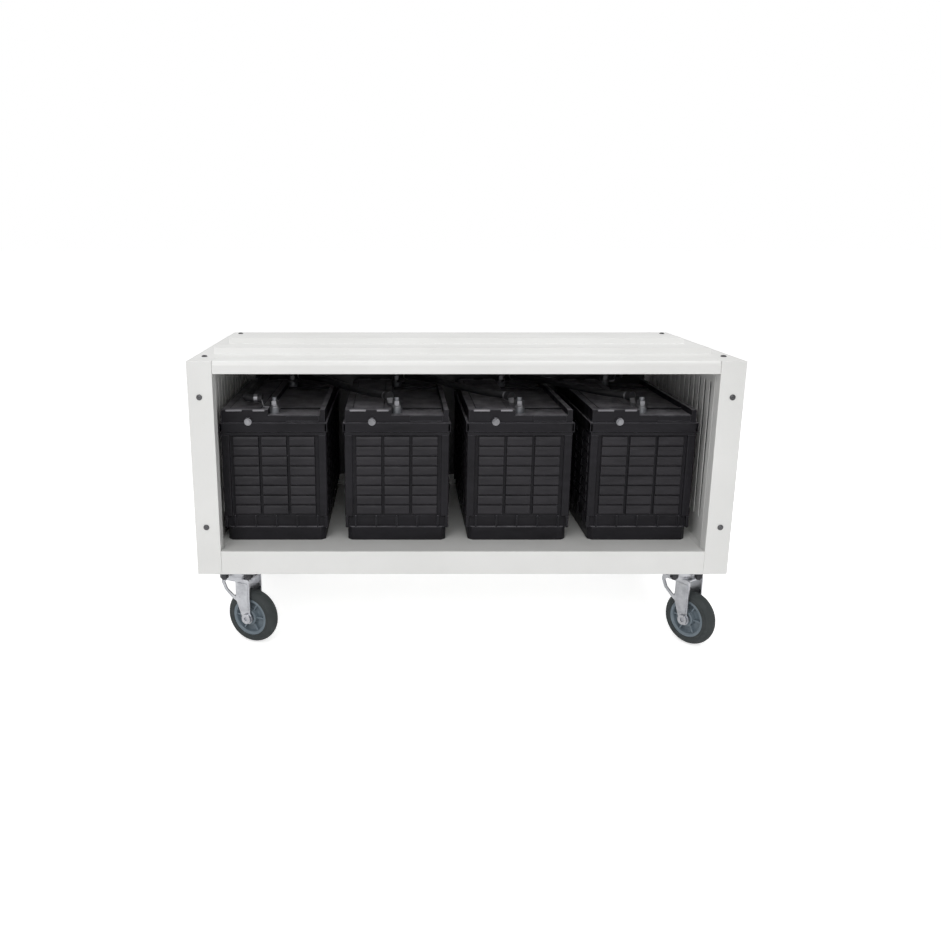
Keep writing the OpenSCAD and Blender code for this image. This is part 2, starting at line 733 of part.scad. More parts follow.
side_panel();  // side_panel_left
mirror([1, 0, 0]) side_panel();  // side_panel_right
side_liner();  // side_liner_left
mirror([1, 0, 0]) side_liner();  // side_liner_right
bottom_tray();
header_rail();
top_panel();
back_panel();
base_channel(-1);  // base_channel_front
base_channel(1);  // base_channel_rear
side_screws();
top_screws();
back_screws();
cable_glands();
battery_case(0);  // battery_1_case
battery_case(1);  // battery_2_case
battery_case(2);  // battery_3_case
battery_case(3);  // battery_4_case
battery_lid(0);  // battery_1_lid
battery_lid(1);  // battery_2_lid
battery_lid(2);  // battery_3_lid
battery_lid(3);  // battery_4_lid
plate_groups();
cell_straps();
pressure_valves();
vent_covers();
terminal_posts();
terminal_nuts();
front_terminal_bolts();
jumper_cable(0);  // jumper_cable_1
jumper_cable(1);  // jumper_cable_2
jumper_cable(2);  // jumper_cable_3
output_lead(0, -1, -1);  // positive_lead
output_lead(3, 1, 1);  // negative_lead
caster_plates();
caster_bolts();
caster_nuts();
kingpins();
fork(0);  // fork_front_left
fork(1);  // fork_front_right
fork(2);  // fork_rear_left
fork(3);  // fork_rear_right
axle(0);  // axle_front_left
axle(1);  // axle_front_right
axle(2);  // axle_rear_left
axle(3);  // axle_rear_right
hub(0);  // hub_front_left
hub(1);  // hub_front_right
hub(2);  // hub_rear_left
hub(3);  // hub_rear_right
tyre(0);  // tyre_front_left
tyre(1);  // tyre_front_right
tyre(2);  // tyre_rear_left
tyre(3);  // tyre_rear_right
bearings(0);  // bearings_front_left
bearings(1);  // bearings_front_right
bearings(2);  // bearings_rear_left
bearings(3);  // bearings_rear_right
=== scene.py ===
"""Looks for the wheeled battery cabinet.

Materials, rounded CAD nodes, battery shells and lid trim, louvre hoods, cables and caster details, then
the stage, the light and the camera.
"""
import json
import math

import bmesh
import bpy
from mathutils import Matrix, Vector

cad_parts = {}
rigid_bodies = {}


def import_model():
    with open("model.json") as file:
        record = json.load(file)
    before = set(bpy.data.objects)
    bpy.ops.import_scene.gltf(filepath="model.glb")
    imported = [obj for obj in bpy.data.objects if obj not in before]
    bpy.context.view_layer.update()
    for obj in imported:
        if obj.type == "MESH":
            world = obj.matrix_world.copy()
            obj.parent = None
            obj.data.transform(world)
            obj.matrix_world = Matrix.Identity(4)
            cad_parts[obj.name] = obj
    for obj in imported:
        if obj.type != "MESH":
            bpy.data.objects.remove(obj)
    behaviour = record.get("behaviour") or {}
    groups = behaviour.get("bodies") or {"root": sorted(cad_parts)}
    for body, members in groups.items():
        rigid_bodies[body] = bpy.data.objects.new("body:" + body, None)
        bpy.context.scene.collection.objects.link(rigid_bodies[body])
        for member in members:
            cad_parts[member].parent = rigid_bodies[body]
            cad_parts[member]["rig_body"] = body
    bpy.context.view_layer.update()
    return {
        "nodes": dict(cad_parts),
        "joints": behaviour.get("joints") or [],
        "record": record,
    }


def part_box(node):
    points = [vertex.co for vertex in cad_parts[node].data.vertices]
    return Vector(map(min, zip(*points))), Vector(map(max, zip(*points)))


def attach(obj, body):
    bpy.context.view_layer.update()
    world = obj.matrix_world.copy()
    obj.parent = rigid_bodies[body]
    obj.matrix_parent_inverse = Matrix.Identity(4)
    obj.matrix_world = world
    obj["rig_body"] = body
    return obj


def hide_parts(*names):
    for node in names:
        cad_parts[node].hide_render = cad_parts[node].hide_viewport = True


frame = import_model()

MM = 0.001
BATTERIES = (1, 2, 3, 4)
CORNERS = ("front_left", "front_right", "rear_left", "rear_right")
RECORD = frame["record"]
BROAD = 4 * MM  # a face or a plane narrower than this counts as a strip
# pale grey on battery tops: real dust, and a painted sheen of light on them
BATTERY_DUST_AND_SHEEN = (0.30, 0.29, 0.315)
# lighter grey for battery edges: scuffs, and painted highlights along them
BATTERY_SCUFF_AND_HIGHLIGHT = (0.12, 0.12, 0.135)


# ---------------------------------------------------------------- node materials

def add_node(tree, kind, inputs=None, **settings):
    """Adds a shader node; an input value that is a socket gets a link."""
    new = tree.nodes.new(kind)
    for key, value in settings.items():
        setattr(new, key, value)
    for key, value in (inputs or {}).items():
        if isinstance(value, bpy.types.NodeSocket):
            tree.links.new(value, new.inputs[key])
        else:
            new.inputs[key].default_value = value
    return new


def noise(tree, scale, detail=3.0, rough=0.55, stretch=None):
    """A noise value in the piece's own coordinates; scale counts per metre, stretch scales each axis."""
    place = add_node(tree, "ShaderNodeTexCoord").outputs["Object"]
    if stretch:
        place = add_node(tree, "ShaderNodeMapping", {"Vector": place, "Scale": stretch}).outputs["Vector"]
    inputs = {"Vector": place, "Scale": scale, "Detail": detail, "Roughness": rough}
    return add_node(tree, "ShaderNodeTexNoise", inputs).outputs["Fac"]


def remap(tree, value, low, high, to_low=0.0, to_high=1.0):
    """Maps low..high of a value to to_low..to_high, clamped."""
    inputs = {"Value": value, "From Min": low, "From Max": high, "To Min": to_low, "To Max": to_high}
    return add_node(tree, "ShaderNodeMapRange", inputs).outputs["Result"]


def calc(tree, operation, a, b):
    return add_node(tree, "ShaderNodeMath", {0: a, 1: b}, operation=operation).outputs[0]


def blend_color(tree, factor, a, b):
    """Mixes two colours, given as (r, g, b) or sockets."""
    mix = add_node(tree, "ShaderNodeMix", {"Factor": factor}, data_type="RGBA")
    for index, value in ((6, a), (7, b)):
        if isinstance(value, bpy.types.NodeSocket):
            tree.links.new(value, mix.inputs[index])
        else:
            mix.inputs[index].default_value = (*value, 1.0)
    return mix.outputs[2]


def edge_mask(tree, radius, strength=1.0):
    """1 along sharp edges and 0 on flat faces, from a rounded normal against the true one."""
    soft = add_node(tree, "ShaderNodeBevel", {"Radius": radius}, samples=4).outputs["Normal"]
    true = add_node(tree, "ShaderNodeNewGeometry").outputs["Normal"]
    dot = add_node(tree, "ShaderNodeVectorMath", {0: soft, 1: true}, operation="DOT_PRODUCT").outputs["Value"]
    return remap(tree, dot, 0.995, 0.80, 0.0, strength)


def facing_up(tree, low=0.6, high=0.98):
    normal = add_node(tree, "ShaderNodeNewGeometry").outputs["Normal"]
    up = add_node(tree, "ShaderNodeSeparateXYZ", {0: normal}).outputs["Z"]
    return remap(tree, up, low, high)


def new_material(name, metallic=0.0, coat=0.0):
    mat = bpy.data.materials.new(name)
    mat.use_nodes = True
    shader = mat.node_tree.nodes["Principled BSDF"]
    shader.inputs["Metallic"].default_value = metallic
    shader.inputs["Coat Weight"].default_value = coat
    shader.inputs["Coat Roughness"].default_value = 0.25
    return mat, mat.node_tree, shader


def finish_material(tree, shader, color, roughness, heights):
    """Links colour and roughness, and stacks (height, distance in metres, strength) bumps."""
    tree.links.new(color, shader.inputs["Base Color"])
    tree.links.new(roughness, shader.inputs["Roughness"])
    normal = None
    for height, distance, strength in heights:
        inputs = {"Height": height, "Distance": distance, "Strength": strength}
        if normal:
            inputs["Normal"] = normal
        normal = add_node(tree, "ShaderNodeBump", inputs).outputs["Normal"]
    tree.links.new(normal, shader.inputs["Normal"])


def powder_coat(name, dark, light, speck, dust_color, edge_color):
    """Powder coat: orange-peel skin, faint uneven film, a little dust on top and a lighter colour along edges.
    """
    mat, tree, shader = new_material(name, coat=0.18)
    cloud = remap(tree, noise(tree, 5.0, 4.0), 0.3, 0.7)
    color = blend_color(tree, cloud, dark, light)
    specks = remap(tree, noise(tree, 420.0, 1.0), 0.76, 0.80, 0.0, 0.22)
    color = blend_color(tree, specks, color, speck)
    top_tint = calc(tree, "MULTIPLY", facing_up(tree), remap(tree, noise(tree, 16.0, 5.0), 0.42, 0.72, 0.0, 0.16))
    color = blend_color(tree, top_tint, color, dust_color)
    color = blend_color(tree, edge_mask(tree, 1.2 * MM, 0.5), color, edge_color)
    rough = remap(tree, noise(tree, 30.0, 4.0), 0.3, 0.7, 0.34, 0.47)
    peel = noise(tree, 650.0, 2.0, 0.5)
    finish_material(tree, shader, color, rough, [(cloud, 0.4 * MM, 0.10), (peel, 0.12 * MM, 0.30)])
    return mat


def battery_plastic(name, cool, warm, film, dust_and_sheen, scuff_and_highlight):
    """Satin charcoal polypropylene: spark-eroded grain, cool and warm patches, dust with a painted sheen on
    top, scuffed edges with painted highlights.
    """
    mat, tree, shader = new_material(name)
    shader.inputs["Specular IOR Level"].default_value = 0.2
    patch = remap(tree, noise(tree, 9.0, 3.0), 0.35, 0.65)
    color = blend_color(tree, patch, cool, warm)
    flow = remap(tree, noise(tree, 22.0, 3.0, 0.5, (1.0, 1.0, 5.0)), 0.35, 0.7, 0.0, 0.5)
    color = blend_color(tree, flow, color, film)
    # pale mottling on faces that look up: real dust, and a painted sheen of light on the battery tops
    top_tint = remap(tree, noise(tree, 40.0, 6.0, 0.65), 0.36, 0.68, 0.35 * dust_and_sheen, dust_and_sheen)
    top_tint = calc(tree, "MULTIPLY", facing_up(tree, 0.85, 0.99), top_tint)
    color = blend_color(tree, top_tint, color, BATTERY_DUST_AND_SHEEN)
    # lighter edges: scuffs, and painted highlights along the edges
    color = blend_color(tree, edge_mask(tree, 1.0 * MM, scuff_and_highlight), color, BATTERY_SCUFF_AND_HIGHLIGHT)
    rough = remap(tree, noise(tree, 60.0, 5.0), 0.3, 0.7, 0.36, 0.56)
    grain = noise(tree, 1500.0, 2.0, 0.6)
    sink = noise(tree, 35.0, 2.0)
    finish_material(tree, shader, color, rough, [(sink, 0.5 * MM, 0.12), (grain, 0.10 * MM, 0.35)])
    return mat


def plated_metal(name, dark, light, rough_low, rough_high, streak=(1.0, 1.0, 12.0), grime=0.35, rub=1.12):
    """Plated steel: cloudy plating, fine drawing marks, grime in patches and bright rubbed edges."""
    mat, tree, shader = new_material(name, metallic=1.0)
    cloud = remap(tree, noise(tree, 55.0, 4.0, 0.6), 0.34, 0.66)
    color = blend_color(tree, cloud, dark, light)
    stain = remap(tree, noise(tree, 28.0, 6.0, 0.65), 0.56, 0.74, 0.0, grime)
    color = blend_color(tree, stain, color, tuple(c * 0.42 for c in dark))
    color = blend_color(tree, edge_mask(tree, 0.6 * MM, 0.6), color, tuple(min(1.0, c * rub) for c in light))
    rough = remap(tree, noise(tree, 75.0, 5.0), 0.3, 0.7, rough_low, rough_high)
    marks = noise(tree, 260.0, 3.0, 0.6, streak)
    finish_material(tree, shader, color, rough, [(cloud, 0.2 * MM, 0.12), (marks, 0.08 * MM, 0.30)])
    return mat


def moulded(name, dark, light, rough_low, rough_high, grain_scale=1100.0, coat=0.0):
    """Moulded rubber or nylon: slight colour drift, fine grain, pale scuffs and worn edges."""
    mat, tree, shader = new_material(name, coat=coat)
    drift = remap(tree, noise(tree, 18.0, 4.0), 0.3, 0.7)
    color = blend_color(tree, drift, dark, light)
    scuff = remap(tree, noise(tree, 90.0, 6.0, 0.7), 0.60, 0.78, 0.0, 0.30)
    color = blend_color(tree, scuff, color, tuple(min(1.0, c * 2.1 + 0.02) for c in light))
    color = blend_color(tree, edge_mask(tree, 0.8 * MM, 0.35), color, tuple(min(1.0, c * 1.7) for c in light))
    rough = remap(tree, noise(tree, 50.0, 5.0), 0.3, 0.7, rough_low, rough_high)
    grain = noise(tree, grain_scale, 2.0, 0.6)
    finish_material(tree, shader, color, rough, [(drift, 0.3 * MM, 0.10), (grain, 0.10 * MM, 0.35)])
    return mat


MATERIALS = {
    "powder_coat": powder_coat("powder_coat", (0.73, 0.73, 0.715), (0.79, 0.79, 0.778), (0.42, 0.41, 0.40),
                               (0.62, 0.61, 0.58), (0.90, 0.90, 0.885)),
    "dark_panel": powder_coat("dark_panel", (0.022, 0.022, 0.026), (0.032, 0.032, 0.036), (0.09, 0.09, 0.09),
                              (0.10, 0.10, 0.095), (0.10, 0.10, 0.105)),
    "battery_plastic": battery_plastic("battery_plastic", (0.008, 0.0075, 0.0095), (0.012, 0.011, 0.014),
                                       (0.018, 0.017, 0.021), 0.9, 0.50),
    "battery_pads": battery_plastic("battery_pads", (0.019, 0.018, 0.021), (0.027, 0.025, 0.029),
                                    (0.038, 0.036, 0.041), 0.1, 0.12),
    # pale grey plastic for the lid ledges, a painted highlight along the lids' edges
    "painted_highlight_plastic": battery_plastic("painted_highlight_plastic", (0.13, 0.13, 0.145), (0.30, 0.29, 0.31),
                                      (0.34, 0.34, 0.36), 0.3, 0.5),
    "black_oxide": plated_metal("black_oxide", (0.045, 0.045, 0.05), (0.085, 0.085, 0.09), 0.38, 0.58,
                                rub=4.5),
    "worn_oxide": plated_metal("worn_oxide", (0.10, 0.10, 0.105), (0.17, 0.17, 0.175), 0.34, 0.52, rub=3.0),
    "valve_rubber": moulded("valve_rubber", (0.02, 0.02, 0.02), (0.035, 0.035, 0.035), 0.6, 0.8),
    "lead": plated_metal("lead", (0.24, 0.25, 0.27), (0.37, 0.38, 0.40), 0.48, 0.70, (1.0, 1.0, 1.0)),
    "bright_zinc": plated_metal("bright_zinc", (0.26, 0.26, 0.275), (0.39, 0.39, 0.41), 0.28, 0.44,
                                grime=0.25),
    "cable_jacket": moulded("cable_jacket", (0.012, 0.012, 0.014), (0.022, 0.022, 0.025), 0.34, 0.50, 700.0),
    "gland_plastic": moulded("gland_plastic", (0.022, 0.022, 0.024), (0.034, 0.034, 0.036), 0.42, 0.60),
    "zinc_plate": plated_metal("zinc_plate", (0.50, 0.51, 0.54), (0.70, 0.71, 0.74), 0.26, 0.44, grime=0.3),
    "bearing_steel": plated_metal("bearing_steel", (0.52, 0.52, 0.54), (0.68, 0.68, 0.70), 0.16, 0.28,
                                  grime=0.2),
    "hub_plastic": moulded("hub_plastic", (0.135, 0.172, 0.203), (0.19, 0.228, 0.258), 0.34, 0.52),
    "tyre_rubber": moulded("tyre_rubber", (0.026, 0.032, 0.033), (0.044, 0.051, 0.052), 0.55, 0.78, 800.0),
}


# ---------------------------------------------------------------- mesh helpers

def new_object(name, bm):
    """Turns a bmesh into an object of the scene, and frees the bmesh."""
    mesh = bpy.data.meshes.new(name)
    bm.to_mesh(mesh)
    bm.free()
    made = bpy.data.objects.new(name, mesh)
    bpy.context.scene.collection.objects.link(made)
    return made


def shade_planes_flat(mesh):
    """Shades broad planes flat, so that rounded folds and holes beside them don't pull their shading."""
    planes = {}
    for face in mesh.polygons:
        normal = face.normal
        distance = normal.dot(face.center)
        key = (round(normal.x, 3), round(normal.y, 3), round(normal.z, 3), round(distance, 4))
        planes.setdefault(key, []).append(face)
    for faces in planes.values():
        points = [mesh.vertices[i].co for face in faces for i in face.vertices]
        low = [min(point[k] for point in points) for k in range(3)]
        high = [max(point[k] for point in points) for k in range(3)]
        if sum(face.area for face in faces) > BROAD * math.dist(low, high):
            for face in faces:
                face.use_smooth = False


def add_piece(name, bm, body, slot, angle=35.0, look=None):
    """Makes a named piece that rides on a body and wears its slot's material, or a look of its own."""
    bmesh.ops.recalc_face_normals(bm, faces=bm.faces)
    piece = new_object(name, bm)
    mesh = piece.data
    mesh.materials.append(MATERIALS[look or slot])
    mesh.shade_smooth()
    mesh.set_sharp_from_angle(angle=math.radians(angle))
    shade_planes_flat(mesh)
    flat = piece.modifiers.new("even_shading", "WEIGHTED_NORMAL")
    flat.keep_sharp = True
    flat.weight = 100
    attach(piece, body)
    return piece


def round_edges(bm, edges, radius, segments=2, clamp=False):
    bmesh.ops.bevel(bm, geom=edges, offset=radius, segments=segments, profile=0.5, affect="EDGES",
                    clamp_overlap=clamp)


def in_mm(points):
    """Points given in millimetres, in metres."""
    return [(a * MM, b * MM) for a, b in points]


def add_box(bm, low, high, bevel=0.0, segments=2):
    """Adds a closed box between two corners, its edges rounded by bevel."""
    low, high = Vector(low), Vector(high)
    made = bmesh.ops.create_cube(bm, size=1.0)["verts"]
    bmesh.ops.scale(bm, vec=high - low, verts=made)
    bmesh.ops.translate(bm, vec=(low + high) / 2, verts=made)
    if bevel:
        round_edges(bm, list({e for v in made for e in v.link_edges}), bevel, segments)


def add_prism(bm, outline, low_z, high_z, bevel=0.0):
    """Adds a closed prism on a plan outline of (x, y) points."""
    bottom = [bm.verts.new((x, y, low_z)) for x, y in outline]
    top = [bm.verts.new((x, y, high_z)) for x, y in outline]
    faces = [bm.faces.new(bottom[::-1]), bm.faces.new(top)]
    for i in range(len(outline)):
        k = (i + 1) % len(outline)
        faces.append(bm.faces.new((bottom[i], bottom[k], top[k], top[i])))
    if bevel:
        round_edges(bm, list({e for f in faces for e in f.edges}), bevel)


def add_lathe(bm, profile, matrix, steps=64):
    """Adds a closed ring swept from an (r, z) outline about the matrix's Z axis."""
    rings = []
    for i in range(steps):
        turn = 2 * math.pi * i / steps
        x, y = math.cos(turn), math.sin(turn)
        rings.append([bm.verts.new(matrix @ Vector((r * x, r * y, z))) for r, z in profile])
    count = len(profile)
    for i in range(steps):
        a, b = rings[i], rings[(i + 1) % steps]
        for k in range(count):
            n = (k + 1) % count
            bm.faces.new((a[k], b[k], b[n], a[n]))


def smooth_path(points, steps=10):
    """Catmull-Rom points through a list of points."""
    pts = [Vector(p) for p in points]
    pts = [2 * pts[0] - pts[1]] + pts + [2 * pts[-1] - pts[-2]]
    path = []
    for i in range(1, len(pts) - 2):
        p0, p1, p2, p3 = pts[i - 1:i + 3]
        for k in range(steps):
            t = k / steps
            path.append(0.5 * (2 * p1 + (p2 - p0) * t + (2 * p0 - 5 * p1 + 4 * p2 - p3) * t * t
                               + (3 * p1 - 3 * p2 + p3 - p0) * t ** 3))
    path.append(pts[-2])
    return path


def add_tube(bm, path, radius, sides=20):
    """Adds a closed round tube along a path; radius is a number or a function of 0..1 along it."""
    rings = []
    up = Vector((0, 0, 1))
    for i, point in enumerate(path):
        ahead = path[min(i + 1, len(path) - 1)] - path[max(i - 1, 0)]
        ahead.normalize()
        across = ahead.cross(up)
        if across.length < 0.1:
            across = Vector((1, 0, 0))
        across.normalize()
        lift = across.cross(ahead)
        r = radius(i / (len(path) - 1)) if callable(radius) else radius
        ring = []
        for k in range(sides):
            turn = 2 * math.pi * k / sides
            ring.append(bm.verts.new(point + r * (math.cos(turn) * across + math.sin(turn) * lift)))
        rings.append(ring)
    for a, b in zip(rings, rings[1:]):
        for k in range(sides):
            n = (k + 1) % sides
            bm.faces.new((a[k], a[n], b[n], b[k]))
    bm.faces.new(rings[0][::-1])
    bm.faces.new(rings[-1])


# ---------------------------------------------------------------- CAD nodes

def round_folds(bm, radius):
    """Rounds the outside of folds: convex edges between two broad faces, not the rims of the sheet."""
    def broad(face):
        return 2 * face.calc_area() / max(face.calc_perimeter(), 1e-9) > BROAD

    def is_fold(edge):
        return (len(edge.link_faces) == 2 and edge.is_convex and edge.calc_face_angle(0.0) > math.radians(60.0)
                and all(broad(face) for face in edge.link_faces))
    round_edges(bm, [edge for edge in bm.edges if is_fold(edge)], radius, 4, clamp=True)


def refine(node, slot, radius, fold=0.0, look=None):
    """A copy of a CAD node with clean faces and truly rounded edges, which stands for the node."""
    source = frame["nodes"][node]
    bm = bmesh.new()
    bm.from_mesh(source.data)
    bmesh.ops.remove_doubles(bm, verts=bm.verts, dist=0.004 * MM)
    bmesh.ops.dissolve_limit(bm, angle_limit=math.radians(0.6), verts=bm.verts, edges=bm.edges)
    if fold:
        round_folds(bm, fold)
    sharp = [e for e in bm.edges if len(e.link_faces) == 2 and e.calc_face_angle(0.0) > math.radians(32.0)]
    round_edges(bm, sharp, radius, clamp=True)
    piece = add_piece(f"{node}_skin", bm, source["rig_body"], slot, 36.0, look)
    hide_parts(node)


def dress_cad_nodes(own_shape):
    """Every CAD node gets its slot's material; folded and moulded ones get rounded edges."""
    radii = {
        "powder_coat": 0.7 * MM, "battery_plastic": 0.9 * MM, "zinc_plate": 0.5 * MM, "black_oxide": 0.3 * MM,
        "bright_zinc": 0.35 * MM, "gland_plastic": 0.4 * MM, "dark_panel": 0.3 * MM,
    }
    folded = ("side_panel_left", "side_panel_right", "bottom_tray")
    fold_radius = 2.2 * MM
    for entry in RECORD["subparts"]:
        node, slot = entry["node"], entry["material_slot"]
        piece = frame["nodes"][node]
        piece.data.materials.clear()
        piece.data.materials.append(MATERIALS[slot])
        if slot in radii and node not in own_shape:
            look = "worn_oxide" if node == "side_screws" else None
            refine(node, slot, radii[slot], fold_radius if node in folded else 0.0, look)


# ---------------------------------------------------------------- batteries

def bulge_rows(bm, origin, along, outward, width, low_z, pitch, rows, depth):
    """Adds a column of pads, each bulging outward like a shallow roof tile, rooted below the wall's face."""
    steps = 6
    edge, gap, root_depth = 0.9 * MM, 0.7 * MM, 1.0 * MM

    def point(u, out, z):
        return bm.verts.new(origin + along * u + outward * out + Vector((0, 0, z)))
    for row in range(rows):
        z0 = low_z + row * pitch + gap
        z1 = low_z + (row + 1) * pitch - gap
        grid = []
        for i in range(steps + 1):
            t = i / steps
            out = depth * (0.62 + 0.38 * min(1.0, 7.0 * t, 5.0 * (1.0 - t)) * (1.0 - 0.28 * t))
            z = z0 + (z1 - z0) * t
            sides = ((0.0, 0.0), (edge * 0.1, out * 0.8), (edge * 0.7, out),
                     (width - edge * 0.7, out), (width - edge * 0.1, out * 0.8), (width, 0.0))
            grid.append([point(u, d, z) for u, d in sides])
        root = [[point(u, -root_depth, z) for u in (0.0, width)] for z in (z0, z1)]
        for a, b in zip(grid, grid[1:]):
            for k in range(len(a) - 1):
                bm.faces.new((a[k], a[k + 1], b[k + 1], b[k]))
        bm.faces.new([root[0][0]] + grid[0] + [root[0][1]])
        bm.faces.new([root[1][1]] + grid[-1][::-1] + [root[1][0]])
        bm.faces.new([root[0][0], root[1][0]] + [g[0] for g in reversed(grid)])
        bm.faces.new([root[1][1], root[0][1]] + [g[-1] for g in grid])
        bm.faces.new((root[0][1], root[1][1], root[1][0], root[0][0]))


def battery_shell(number):
    """The case: foot, pocketed waist and corner posts, and the columns of pads as a piece of their own."""
    node = f"battery_{number}_case"
    low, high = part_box(node)
    middle = (low + high) / 2
    half_w = (high.x - low.x) / 2
    half_l = (high.y - low.y) / 2
    height = high.z - low.z
    foot, waist, rows = 23 * MM, 41 * MM, 8
    rib_low, rib_high = foot - 1 * MM, waist + 1 * MM
    groove, slit = 5.0 * MM, 4.4 * MM
    post_w, post_l = 13.5 * MM, 14 * MM
    end_margin, side_margin = 17 * MM, 16 * MM

    shell = bmesh.new()
    cut = 7 * MM
    w, l = half_w - 4 * MM, half_l - 1 * MM
    plan = [(-w + cut, -l), (w - cut, -l), (w, -l + cut), (w, l - cut),
            (w - cut, l), (-w + cut, l), (-w, l - cut), (-w, -l + cut)]
    add_prism(shell, plan, 0.0, foot, 1.2 * MM)
    add_box(shell, (-half_w + 5 * MM, -half_l + 6 * MM, foot - 2 * MM),
            (half_w - 5 * MM, half_l - 6 * MM, waist + 2 * MM))
    core_w, core_l = half_w - groove, half_l - groove
    add_box(shell, (-core_w, -core_l, waist), (core_w, core_l, height), 1.5 * MM)
    add_box(shell, (-half_w, -half_l, height - 5 * MM), (half_w, half_l, height), 1.0 * MM)
    for sx in (-1, 1):
        for sy in (-1, 1):
            y0, y1 = sorted((sy * (half_l - post_l), sy * half_l))
            x0, x1 = sorted((sx * (half_w - groove), sx * half_w))
            add_box(shell, (x0, y0, rib_low), (x1, y1, rib_high), 1.5 * MM)
            x0, x1 = sorted((sx * (half_w - post_w), sx * half_w))
            add_box(shell, (x0, y0, waist), (x1, y1, height - 4 * MM), 2.2 * MM, 3)

    pads = bmesh.new()
    low_z = waist + 3 * MM
    layout = (low_z, (height - 7 * MM - low_z) / rows, rows, groove)
    for sign in (-1, 1):
        column = (2 * half_w - 2 * end_margin) / 3
        for k in range(3):
            start = Vector((-half_w + end_margin + k * column + slit / 2, sign * core_l, 0))
            bulge_rows(pads, start, Vector((1, 0, 0)), Vector((0, sign, 0)), column - slit, *layout)
        for k in range(-2, 3):
            x = k * 0.4 * half_w
            y0, y1 = sorted((sign * (half_l - 7 * MM), sign * (half_l - 1.5 * MM)))
            add_box(shell, (x - 1.2 * MM, y0, rib_low), (x + 1.2 * MM, y1, rib_high), 0.6 * MM)
        column = (2 * half_l - 2 * side_margin) / 6
        for k in range(6):
            start = Vector((sign * core_w, -half_l + side_margin + k * column + slit / 2, 0))
            bulge_rows(pads, start, Vector((0, 1, 0)), Vector((sign, 0, 0)), column - slit, *layout)
            y = start.y + (column - slit) / 2
            x0, x1 = sorted((sign * (half_w - 6 * MM), sign * (half_w - 1.5 * MM)))
            add_box(shell, (x0, y - 1.5 * MM, rib_low), (x1, y + 1.5 * MM, rib_high), 0.6 * MM)

    for part, bm, look in (("shell", shell, None), ("pads", pads, "battery_pads")):
        bmesh.ops.translate(bm, vec=(middle.x, middle.y, low.z), verts=bm.verts)
        piece = add_piece(f"battery_{number}_{part}", bm, "cabinet", "battery_plastic", 40.0, look)
        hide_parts(node)


def lid_trim(number):
    """Mouldings on a lid: finger ledges in a pale grey that paints the highlight along the lid's edges, deck
    ribs, a front recess and corner clips.
    """
    low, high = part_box(f"battery_{number}_lid")
    bm = bmesh.new()
    width = high.x - low.x
    for y in (low.y + 4.2 * MM, high.y - 4.2 * MM):
        for start, end in ((0.065, 0.215), (0.315, 0.425)):
            add_box(bm, (low.x + width * start, y - 2.5 * MM, high.z - 2.2 * MM),
                    (low.x + width * end, y + 2.0 * MM, high.z + 1.0 * MM), 0.8 * MM)
    # the ledges' pale grey paints the highlight along the lid's edge
    add_piece(f"battery_{number}_ledges", bm, "cabinet", "battery_plastic", look="painted_highlight_plastic")
    bm = bmesh.new()
    deck = high.z - 9 * MM
    for sign in (-1, 1):
        y = (low.y + high.y) / 2 + sign * ((high.y - low.y) / 2 - 58 * MM)
        add_box(bm, (low.x + width * 0.47, y - 1.5 * MM, deck - 1 * MM),
                (low.x + width * 0.93, y + 1.5 * MM, deck + 3 * MM), 0.7 * MM)
    seam = low.z + 15 * MM
    face = low.y + 3.5 * MM
    near, far = face - 1.3 * MM, face + 1 * MM
    left, right = low.x + width * 0.625, low.x + width * 0.92
    for z in (1.6 * MM, 10.4 * MM):
        add_box(bm, (left, near, seam + z), (right, far, seam + z + 1.4 * MM), 0.5 * MM)
    for x in (left - 1.2 * MM, right):
        add_box(bm, (x, near, seam + 1.6 * MM), (x + 1.2 * MM, far, seam + 11.8 * MM), 0.5 * MM)
    for x in (low.x, high.x - 5 * MM):
        add_box(bm, (x, low.y, low.z), (x + 5 * MM, low.y + 16 * MM, seam - 0.4 * MM), 1.2 * MM)
    add_piece(f"battery_{number}_lid_trim", bm, "cabinet", "battery_plastic")


def louvre_hood(bm, x, back_y, z):
    """One pressed hood over a slot: a curved skin with its cheeks, open at the lower edge."""
    half, depth, height, skin = 62 * MM, 2.6 * MM, 7.6 * MM, 0.8 * MM
    turns = [math.pi / 2 * i / 6 for i in range(7)]

    def arc(out, up):
        return [(back_y + out * math.cos(turn), z + up * math.sin(turn)) for turn in turns]
    outer, inner = [
        [[bm.verts.new((x + side, y, up)) for side in (-half, half)]
         for y, up in arc(depth - inset, height - inset)]
        for inset in (0.0, skin)]
    for band in (outer, inner):
        for a, b in zip(band, band[1:]):
            bm.faces.new((a[0], a[1], b[1], b[0]))
    for end in (0, -1):
        bm.faces.new((outer[end][0], outer[end][1], inner[end][1], inner[end][0]))
    for side in (0, 1):
        bm.faces.new([row[side] for row in outer] + [row[side] for row in reversed(inner)])
    cheek = [(back_y - 0.2 * MM, z)] + arc(depth - 0.1 * MM, height - 0.1 * MM)
    for start in (x - half, x + half - skin):
        near = [bm.verts.new((start, y, up)) for y, up in cheek]
        far = [bm.verts.new((start + skin, y, up)) for y, up in cheek]
        bm.faces.new(near)
        bm.faces.new(far[::-1])
        for i in range(len(cheek)):
            n = (i + 1) % len(cheek)
            bm.faces.new((near[i], near[n], far[n], far[i]))


def louvre_hoods():
    """A hood over every louvre slot of the back panel, in a block behind each battery."""
    low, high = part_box("back_panel")
    first, pitch, count = 88.5 * MM, 22 * MM, 6
    bm = bmesh.new()
    for number in BATTERIES:
        case_low, case_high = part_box(f"battery_{number}_case")
        for k in range(count):
            louvre_hood(bm, (case_low.x + case_high.x) / 2, high.y, low.z + first + pitch * k)
    add_piece("louvre_hoods", bm, "cabinet", "dark_panel", angle=40.0)


# ---------------------------------------------------------------- cables

